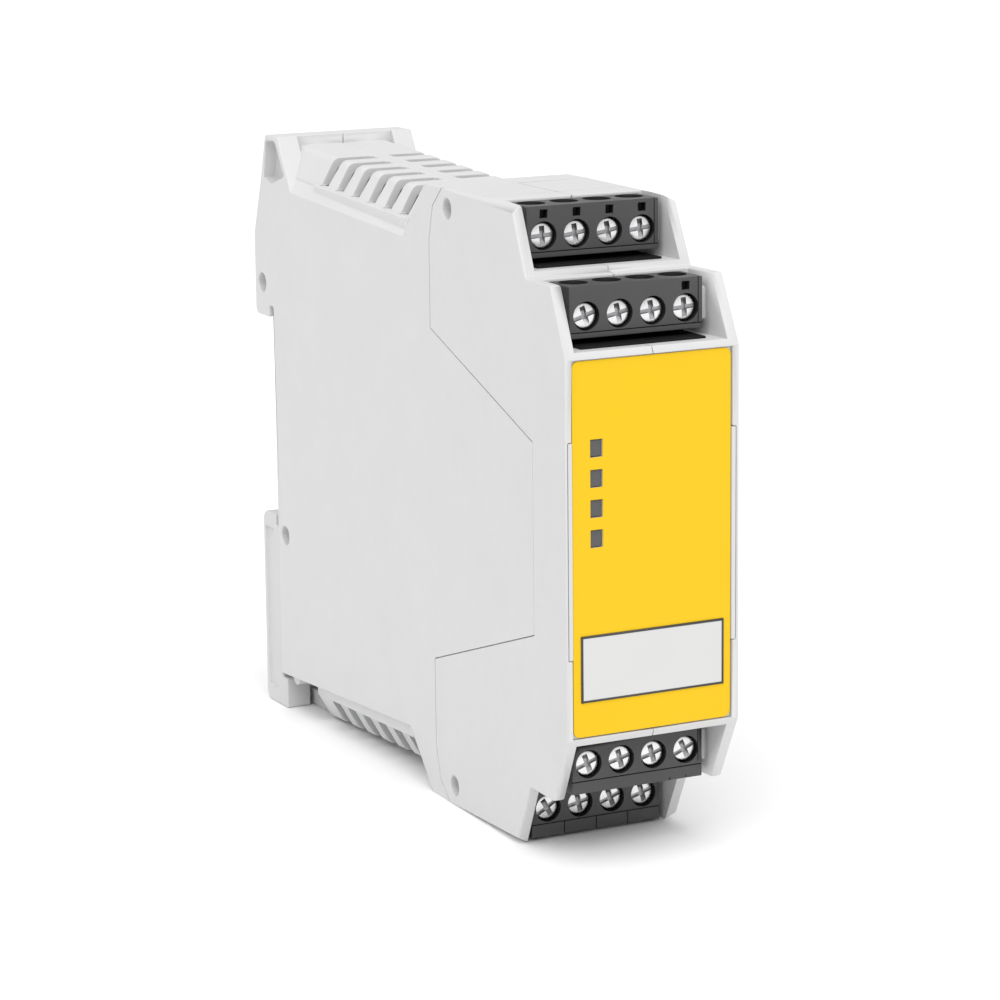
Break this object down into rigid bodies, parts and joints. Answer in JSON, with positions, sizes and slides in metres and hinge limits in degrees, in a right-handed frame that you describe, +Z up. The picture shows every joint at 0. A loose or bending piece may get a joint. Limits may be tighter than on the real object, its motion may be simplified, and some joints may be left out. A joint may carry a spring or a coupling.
{
  "type": "safety input expansion module",
  "caption": "Rail-mounted control module in a flared grey housing with stepped pull-out screw terminals, a yellow front label, vent slots and a sprung rail latch.",
  "frame": {"origin": "middle of the bounding box at its lowest level, where the module stands", "axes": "X across the width, -Y out of the front face, +Y to the rail, Z up the height"},
  "size_m": [0.0266, 0.1074, 0.0917],
  "materials": {
    "housing_grey": "fine moulded grain",
    "latch_grey": "fine moulded grain",
    "label_yellow": "satin printed film",
    "plate_white": "writable film",
    "lamp_window": "smoked",
    "plug_charcoal": "moulded",
    "header_black": "moulded",
    "screw_plated": "bright plating",
    "cage_plated": "plated",
    "spring_steel": "plain",
    "board_green": "solder mask",
    "chip_black": "moulded",
    "capacitor_can": "satin"
  },
  "bodies": {
    "housing": {"rear_shell_left": "housing_grey", "rear_shell_right": "housing_grey", "front_shell_left": "housing_grey", "front_shell_right": "housing_grey", "front_cover": "housing_grey", "front_label": "label_yellow", "id_plate": "plate_white", "light_guide": "lamp_window", "main_board": "board_green", "processor": "chip_black", "capacitor": "capacitor_can", "latch_spring": "spring_steel", "header_upper_front": "header_black", "header_upper_rear": "header_black", "header_lower_front": "header_black", "header_lower_rear": "header_black"},
    "latch": {"rail_latch": "latch_grey"},
    "plug_upper_front": {"plug_upper_front": "plug_charcoal"},
    "plug_upper_rear": {"plug_upper_rear": "plug_charcoal"},
    "plug_lower_front": {"plug_lower_front": "plug_charcoal"},
    "plug_lower_rear": {"plug_lower_rear": "plug_charcoal"},
    "screw_upper_front_1": {"screw_upper_front_1": "screw_plated"},
    "cage_upper_front_1": {"cage_upper_front_1": "cage_plated"},
    "screw_upper_front_2": {"screw_upper_front_2": "screw_plated"},
    "cage_upper_front_2": {"cage_upper_front_2": "cage_plated"},
    "screw_upper_front_3": {"screw_upper_front_3": "screw_plated"},
    "cage_upper_front_3": {"cage_upper_front_3": "cage_plated"},
    "screw_upper_front_4": {"screw_upper_front_4": "screw_plated"},
    "cage_upper_front_4": {"cage_upper_front_4": "cage_plated"},
    "screw_upper_rear_1": {"screw_upper_rear_1": "screw_plated"},
    "cage_upper_rear_1": {"cage_upper_rear_1": "cage_plated"},
    "screw_upper_rear_2": {"screw_upper_rear_2": "screw_plated"},
    "cage_upper_rear_2": {"cage_upper_rear_2": "cage_plated"},
    "screw_upper_rear_3": {"screw_upper_rear_3": "screw_plated"},
    "cage_upper_rear_3": {"cage_upper_rear_3": "cage_plated"},
    "screw_upper_rear_4": {"screw_upper_rear_4": "screw_plated"},
    "cage_upper_rear_4": {"cage_upper_rear_4": "cage_plated"},
    "screw_lower_front_1": {"screw_lower_front_1": "screw_plated"},
    "cage_lower_front_1": {"cage_lower_front_1": "cage_plated"},
    "screw_lower_front_2": {"screw_lower_front_2": "screw_plated"},
    "cage_lower_front_2": {"cage_lower_front_2": "cage_plated"},
    "screw_lower_front_3": {"screw_lower_front_3": "screw_plated"},
    "cage_lower_front_3": {"cage_lower_front_3": "cage_plated"},
    "screw_lower_front_4": {"screw_lower_front_4": "screw_plated"},
    "cage_lower_front_4": {"cage_lower_front_4": "cage_plated"},
    "screw_lower_rear_1": {"screw_lower_rear_1": "screw_plated"},
    "cage_lower_rear_1": {"cage_lower_rear_1": "cage_plated"},
    "screw_lower_rear_2": {"screw_lower_rear_2": "screw_plated"},
    "cage_lower_rear_2": {"cage_lower_rear_2": "cage_plated"},
    "screw_lower_rear_3": {"screw_lower_rear_3": "screw_plated"},
    "cage_lower_rear_3": {"cage_lower_rear_3": "cage_plated"},
    "screw_lower_rear_4": {"screw_lower_rear_4": "screw_plated"},
    "cage_lower_rear_4": {"cage_lower_rear_4": "cage_plated"}
  },
  "joints": [
    {"name": "latch_slide", "type": "slide", "parent": "housing", "child": "latch", "axis": [0, 0, -1], "range_m": [0, 0.003], "stiffness_N_per_m": 1500, "springref_m": -0.003, "deforming": ["latch_spring"]},
    {"name": "pull_plug_upper_front", "type": "slide", "parent": "housing", "child": "plug_upper_front", "axis": [0, -1, 0], "range_m": [0, 0.012]},
    {"name": "lift_cage_upper_front_1", "type": "slide", "parent": "plug_upper_front", "child": "cage_upper_front_1", "axis": [0, -1, 0], "range_m": [0, 0.00125]},
    {"name": "turn_screw_upper_front_1", "type": "hinge", "parent": "plug_upper_front", "child": "screw_upper_front_1", "pos_m": [-0.00762, -0.0492, 0.0757], "axis": [0, 1, 0], "range_deg": [0, 905]},
    {"name": "lift_cage_upper_front_2", "type": "slide", "parent": "plug_upper_front", "child": "cage_upper_front_2", "axis": [0, -1, 0], "range_m": [0, 0.00125]},
    {"name": "turn_screw_upper_front_2", "type": "hinge", "parent": "plug_upper_front", "child": "screw_upper_front_2", "pos_m": [-0.00254, -0.0492, 0.0757], "axis": [0, 1, 0], "range_deg": [0, 905]},
    {"name": "lift_cage_upper_front_3", "type": "slide", "parent": "plug_upper_front", "child": "cage_upper_front_3", "axis": [0, -1, 0], "range_m": [0, 0.00125]},
    {"name": "turn_screw_upper_front_3", "type": "hinge", "parent": "plug_upper_front", "child": "screw_upper_front_3", "pos_m": [0.00254, -0.0492, 0.0757], "axis": [0, 1, 0], "range_deg": [0, 905]},
    {"name": "lift_cage_upper_front_4", "type": "slide", "parent": "plug_upper_front", "child": "cage_upper_front_4", "axis": [0, -1, 0], "range_m": [0, 0.00125]},
    {"name": "turn_screw_upper_front_4", "type": "hinge", "parent": "plug_upper_front", "child": "screw_upper_front_4", "pos_m": [0.00762, -0.0492, 0.0757], "axis": [0, 1, 0], "range_deg": [0, 905]},
    {"name": "pull_plug_upper_rear", "type": "slide", "parent": "housing", "child": "plug_upper_rear", "axis": [0, -1, 0], "range_m": [0, 0.012]},
    {"name": "lift_cage_upper_rear_1", "type": "slide", "parent": "plug_upper_rear", "child": "cage_upper_rear_1", "axis": [0, -1, 0], "range_m": [0, 0.00125]},
    {"name": "turn_screw_upper_rear_1", "type": "hinge", "parent": "plug_upper_rear", "child": "screw_upper_rear_1", "pos_m": [-0.00762, -0.0372, 0.0851], "axis": [0, 1, 0], "range_deg": [0, 905]},
    {"name": "lift_cage_upper_rear_2", "type": "slide", "parent": "plug_upper_rear", "child": "cage_upper_rear_2", "axis": [0, -1, 0], "range_m": [0, 0.00125]},
    {"name": "turn_screw_upper_rear_2", "type": "hinge", "parent": "plug_upper_rear", "child": "screw_upper_rear_2", "pos_m": [-0.00254, -0.0372, 0.0851], "axis": [0, 1, 0], "range_deg": [0, 905]},
    {"name": "lift_cage_upper_rear_3", "type": "slide", "parent": "plug_upper_rear", "child": "cage_upper_rear_3", "axis": [0, -1, 0], "range_m": [0, 0.00125]},
    {"name": "turn_screw_upper_rear_3", "type": "hinge", "parent": "plug_upper_rear", "child": "screw_upper_rear_3", "pos_m": [0.00254, -0.0372, 0.0851], "axis": [0, 1, 0], "range_deg": [0, 905]},
    {"name": "lift_cage_upper_rear_4", "type": "slide", "parent": "plug_upper_rear", "child": "cage_upper_rear_4", "axis": [0, -1, 0], "range_m": [0, 0.00125]},
    {"name": "turn_screw_upper_rear_4", "type": "hinge", "parent": "plug_upper_rear", "child": "screw_upper_rear_4", "pos_m": [0.00762, -0.0372, 0.0851], "axis": [0, 1, 0], "range_deg": [0, 905]},
    {"name": "pull_plug_lower_front", "type": "slide", "parent": "housing", "child": "plug_lower_front", "axis": [0, -1, 0], "range_m": [0, 0.012]},
    {"name": "lift_cage_lower_front_1", "type": "slide", "parent": "plug_lower_front", "child": "cage_lower_front_1", "axis": [0, -1, 0], "range_m": [0, 0.00125]},
    {"name": "turn_screw_lower_front_1", "type": "hinge", "parent": "plug_lower_front", "child": "screw_lower_front_1", "pos_m": [-0.00762, -0.0492, 0.0139], "axis": [0, 1, 0], "range_deg": [0, 905]},
    {"name": "lift_cage_lower_front_2", "type": "slide", "parent": "plug_lower_front", "child": "cage_lower_front_2", "axis": [0, -1, 0], "range_m": [0, 0.00125]},
    {"name": "turn_screw_lower_front_2", "type": "hinge", "parent": "plug_lower_front", "child": "screw_lower_front_2", "pos_m": [-0.00254, -0.0492, 0.0139], "axis": [0, 1, 0], "range_deg": [0, 905]},
    {"name": "lift_cage_lower_front_3", "type": "slide", "parent": "plug_lower_front", "child": "cage_lower_front_3", "axis": [0, -1, 0], "range_m": [0, 0.00125]},
    {"name": "turn_screw_lower_front_3", "type": "hinge", "parent": "plug_lower_front", "child": "screw_lower_front_3", "pos_m": [0.00254, -0.0492, 0.0139], "axis": [0, 1, 0], "range_deg": [0, 905]},
    {"name": "lift_cage_lower_front_4", "type": "slide", "parent": "plug_lower_front", "child": "cage_lower_front_4", "axis": [0, -1, 0], "range_m": [0, 0.00125]},
    {"name": "turn_screw_lower_front_4", "type": "hinge", "parent": "plug_lower_front", "child": "screw_lower_front_4", "pos_m": [0.00762, -0.0492, 0.0139], "axis": [0, 1, 0], "range_deg": [0, 905]},
    {"name": "pull_plug_lower_rear", "type": "slide", "parent": "housing", "child": "plug_lower_rear", "axis": [0, -1, 0], "range_m": [0, 0.012]},
    {"name": "lift_cage_lower_rear_1", "type": "slide", "parent": "plug_lower_rear", "child": "cage_lower_rear_1", "axis": [0, -1, 0], "range_m": [0, 0.00125]},
    {"name": "turn_screw_lower_rear_1", "type": "hinge", "parent": "plug_lower_rear", "child": "screw_lower_rear_1", "pos_m": [-0.00762, -0.0372, 0.0045], "axis": [0, 1, 0], "range_deg": [0, 905]},
    {"name": "lift_cage_lower_rear_2", "type": "slide", "parent": "plug_lower_rear", "child": "cage_lower_rear_2", "axis": [0, -1, 0], "range_m": [0, 0.00125]},
    {"name": "turn_screw_lower_rear_2", "type": "hinge", "parent": "plug_lower_rear", "child": "screw_lower_rear_2", "pos_m": [-0.00254, -0.0372, 0.0045], "axis": [0, 1, 0], "range_deg": [0, 905]},
    {"name": "lift_cage_lower_rear_3", "type": "slide", "parent": "plug_lower_rear", "child": "cage_lower_rear_3", "axis": [0, -1, 0], "range_m": [0, 0.00125]},
    {"name": "turn_screw_lower_rear_3", "type": "hinge", "parent": "plug_lower_rear", "child": "screw_lower_rear_3", "pos_m": [0.00254, -0.0372, 0.0045], "axis": [0, 1, 0], "range_deg": [0, 905]},
    {"name": "lift_cage_lower_rear_4", "type": "slide", "parent": "plug_lower_rear", "child": "cage_lower_rear_4", "axis": [0, -1, 0], "range_m": [0, 0.00125]},
    {"name": "turn_screw_lower_rear_4", "type": "hinge", "parent": "plug_lower_rear", "child": "screw_lower_rear_4", "pos_m": [0.00762, -0.0372, 0.0045], "axis": [0, 1, 0], "range_deg": [0, 905]}
  ],
  "couplings": [
    {"joint": "turn_screw_upper_front_1", "follows": "lift_cage_upper_front_1", "rad_per_m": 12566},
    {"joint": "turn_screw_upper_front_2", "follows": "lift_cage_upper_front_2", "rad_per_m": 12566},
    {"joint": "turn_screw_upper_front_3", "follows": "lift_cage_upper_front_3", "rad_per_m": 12566},
    {"joint": "turn_screw_upper_front_4", "follows": "lift_cage_upper_front_4", "rad_per_m": 12566},
    {"joint": "turn_screw_upper_rear_1", "follows": "lift_cage_upper_rear_1", "rad_per_m": 12566},
    {"joint": "turn_screw_upper_rear_2", "follows": "lift_cage_upper_rear_2", "rad_per_m": 12566},
    {"joint": "turn_screw_upper_rear_3", "follows": "lift_cage_upper_rear_3", "rad_per_m": 12566},
    {"joint": "turn_screw_upper_rear_4", "follows": "lift_cage_upper_rear_4", "rad_per_m": 12566},
    {"joint": "turn_screw_lower_front_1", "follows": "lift_cage_lower_front_1", "rad_per_m": 12566},
    {"joint": "turn_screw_lower_front_2", "follows": "lift_cage_lower_front_2", "rad_per_m": 12566},
    {"joint": "turn_screw_lower_front_3", "follows": "lift_cage_lower_front_3", "rad_per_m": 12566},
    {"joint": "turn_screw_lower_front_4", "follows": "lift_cage_lower_front_4", "rad_per_m": 12566},
    {"joint": "turn_screw_lower_rear_1", "follows": "lift_cage_lower_rear_1", "rad_per_m": 12566},
    {"joint": "turn_screw_lower_rear_2", "follows": "lift_cage_lower_rear_2", "rad_per_m": 12566},
    {"joint": "turn_screw_lower_rear_3", "follows": "lift_cage_lower_rear_3", "rad_per_m": 12566},
    {"joint": "turn_screw_lower_rear_4", "follows": "lift_cage_lower_rear_4", "rad_per_m": 12566}
  ]
}
